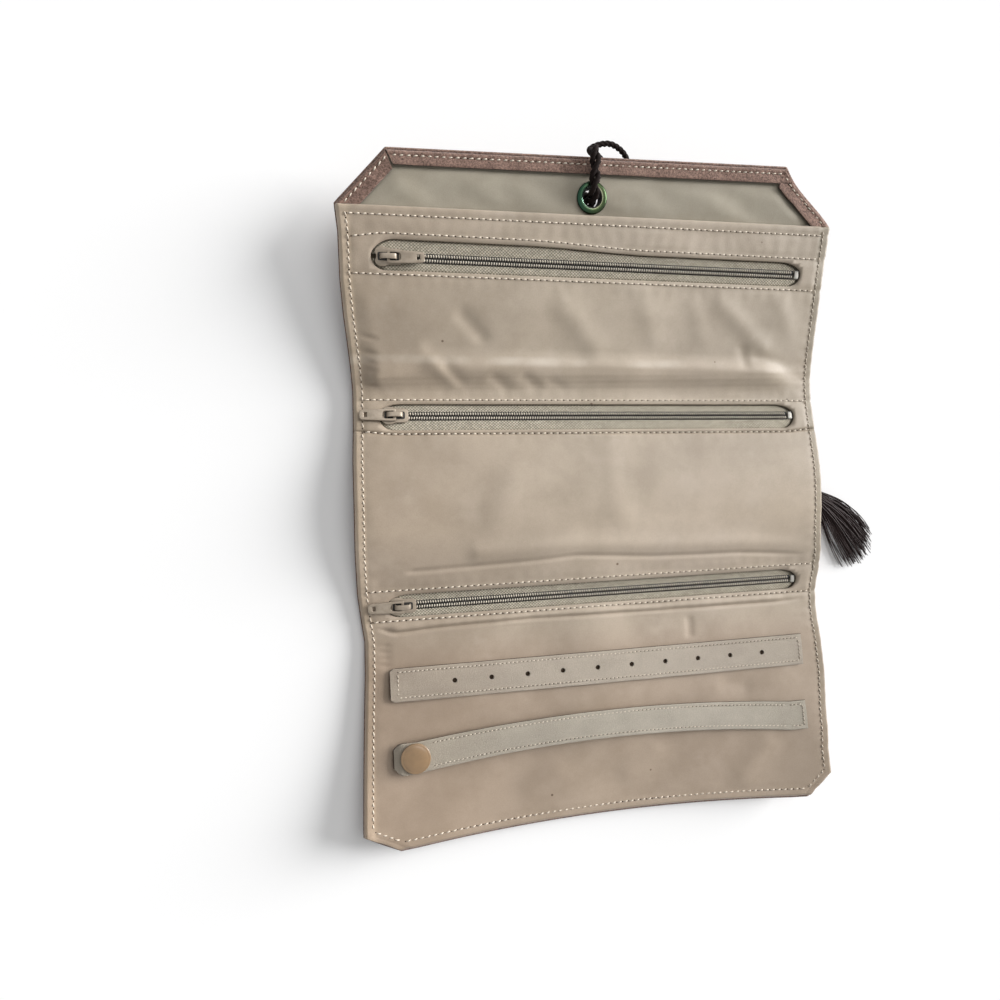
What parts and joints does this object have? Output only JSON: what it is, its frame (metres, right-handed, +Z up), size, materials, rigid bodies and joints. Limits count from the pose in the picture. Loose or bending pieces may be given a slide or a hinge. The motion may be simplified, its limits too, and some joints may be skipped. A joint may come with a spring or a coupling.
{
  "type": "jewelry roll",
  "caption": "Trifold fabric jewelry roll lying open, with zipped pockets, an earring strip, a ring strap with a press stud, and a grommet with a tie cord and tassel.",
  "frame": {"origin": "on the table, under the middle of the open roll without its cord and tassel", "axes": "+Y from the bottom edge towards the flap with the grommet, +X to the right seen from the lining side, +Z up out of the table"},
  "size_m": [0.2709, 0.3122, 0.0301],
  "materials": {
    "suede": "mauve-brown faux suede with a short nap",
    "lining": "taupe satin-finish microsuede with a soft sheen",
    "flap_lining": "olive beige microsuede, matt",
    "strip_suede": "grey-beige faux suede, matt",
    "backing": "thin woven pocket cloth",
    "zip_tape": "khaki twill zipper tape",
    "zip_teeth": "khaki moulded nylon coil",
    "cord": "dark brown twisted cord",
    "tassel": "dark brown glossy strands",
    "antique_brass": "antique brass, dulled, khaki cast",
    "bright_brass": "polished brass",
    "steel": "plain bright steel",
    "snap_enamel": "tan glossy enamel over a pressed cap"
  },
  "bodies": {
    "middle_panel": {"outer_shell_middle": "suede", "pocket_backing_middle": "backing", "lining_middle": "lining", "zip_2_tape_upper": "zip_tape", "zip_2_tape_lower": "zip_tape", "zip_2_teeth_upper": "zip_teeth", "zip_2_teeth_lower": "zip_teeth", "zip_2_end_stop": "steel", "zip_3_tape_upper": "zip_tape", "zip_3_tape_lower": "zip_tape", "zip_3_teeth_upper": "zip_teeth", "zip_3_teeth_lower": "zip_teeth", "zip_3_end_stop": "steel", "tie_cord_lower_right": "cord", "tie_cord_lower_left": "cord", "tassel_head": "cord", "tassel_collar": "cord", "tassel_skirt": "tassel"},
    "upper_panel": {"outer_shell_upper": "suede", "pocket_backing_upper": "backing", "lining_upper": "lining", "flap_lining": "flap_lining", "turned_hem_top": "suede", "turned_hem_left": "suede", "turned_hem_right": "suede", "zip_1_tape_upper": "zip_tape", "zip_1_tape_lower": "zip_tape", "zip_1_teeth_upper": "zip_teeth", "zip_1_teeth_lower": "zip_teeth", "zip_1_end_stop": "steel", "grommet_front": "bright_brass", "grommet_back": "bright_brass", "tie_cord_knot": "cord", "tie_cord_edge_right": "cord", "tie_cord_edge_left": "cord", "tie_cord_upper_right": "cord", "tie_cord_upper_left": "cord"},
    "lower_panel": {"outer_shell_lower": "suede", "pocket_backing_lower": "backing", "lining_lower": "lining", "earring_strip": "strip_suede", "ring_strap_sewn_end": "strip_suede", "snap_stud": "steel"},
    "ring_strap": {"ring_strap": "strip_suede", "snap_cap": "snap_enamel", "snap_socket": "steel"},
    "zip_1_slider": {"zip_1_slider": "antique_brass"},
    "zip_1_pull": {"zip_1_pull": "antique_brass"},
    "zip_2_slider": {"zip_2_slider": "antique_brass"},
    "zip_2_pull": {"zip_2_pull": "antique_brass"},
    "zip_3_slider": {"zip_3_slider": "antique_brass"},
    "zip_3_pull": {"zip_3_pull": "antique_brass"}
  },
  "joints": [
    {"name": "fold_upper", "type": "hinge", "parent": "middle_panel", "child": "upper_panel", "pos_m": [0, 0.05686, 0.0196], "axis": [1, 0, 0], "range_deg": [0, 167.5]},
    {"name": "fold_lower", "type": "hinge", "parent": "middle_panel", "child": "lower_panel", "pos_m": [0, -0.05984, 0.01262], "axis": [-1, 0, 0], "range_deg": [0, 175.5]},
    {"name": "ring_strap_lift", "type": "hinge", "parent": "lower_panel", "child": "ring_strap", "pos_m": [0.0928, -0.11154, 0.01094], "axis": [0, 0.9969, -0.0785], "range_deg": [0, 170]},
    {"name": "zip_1_slide", "type": "slide", "parent": "upper_panel", "child": "zip_1_slider", "axis": [0.9997, -0.0221, -0.0049], "range_m": [0, 0.185], "deforming": ["zip_1_teeth_upper", "zip_1_teeth_lower"]},
    {"name": "zip_1_pull_swing", "type": "hinge", "parent": "zip_1_slider", "child": "zip_1_pull", "pos_m": [-0.09543, 0.10961, 0.02135], "axis": [-0.0227, -0.976, -0.2164], "range_deg": [0, 170]},
    {"name": "zip_2_slide", "type": "slide", "parent": "middle_panel", "child": "zip_2_slider", "axis": [0.9998, -0.019, 0.0025], "range_m": [0, 0.185], "deforming": ["zip_2_teeth_upper", "zip_2_teeth_lower"]},
    {"name": "zip_2_pull_swing", "type": "hinge", "parent": "zip_2_slider", "child": "zip_2_pull", "pos_m": [-0.09543, 0.04251, 0.0101], "axis": [0.0192, 0.9916, -0.128], "range_deg": [0, 170]},
    {"name": "zip_3_slide", "type": "slide", "parent": "middle_panel", "child": "zip_3_slider", "axis": [1, 0, 0], "range_m": [0, 0.185], "deforming": ["zip_3_teeth_upper", "zip_3_teeth_lower"]},
    {"name": "zip_3_pull_swing", "type": "hinge", "parent": "zip_3_slider", "child": "zip_3_pull", "pos_m": [-0.09545, -0.04436, 0.00693], "axis": [0, 0.9938, 0.111], "range_deg": [0, 170]}
  ]
}
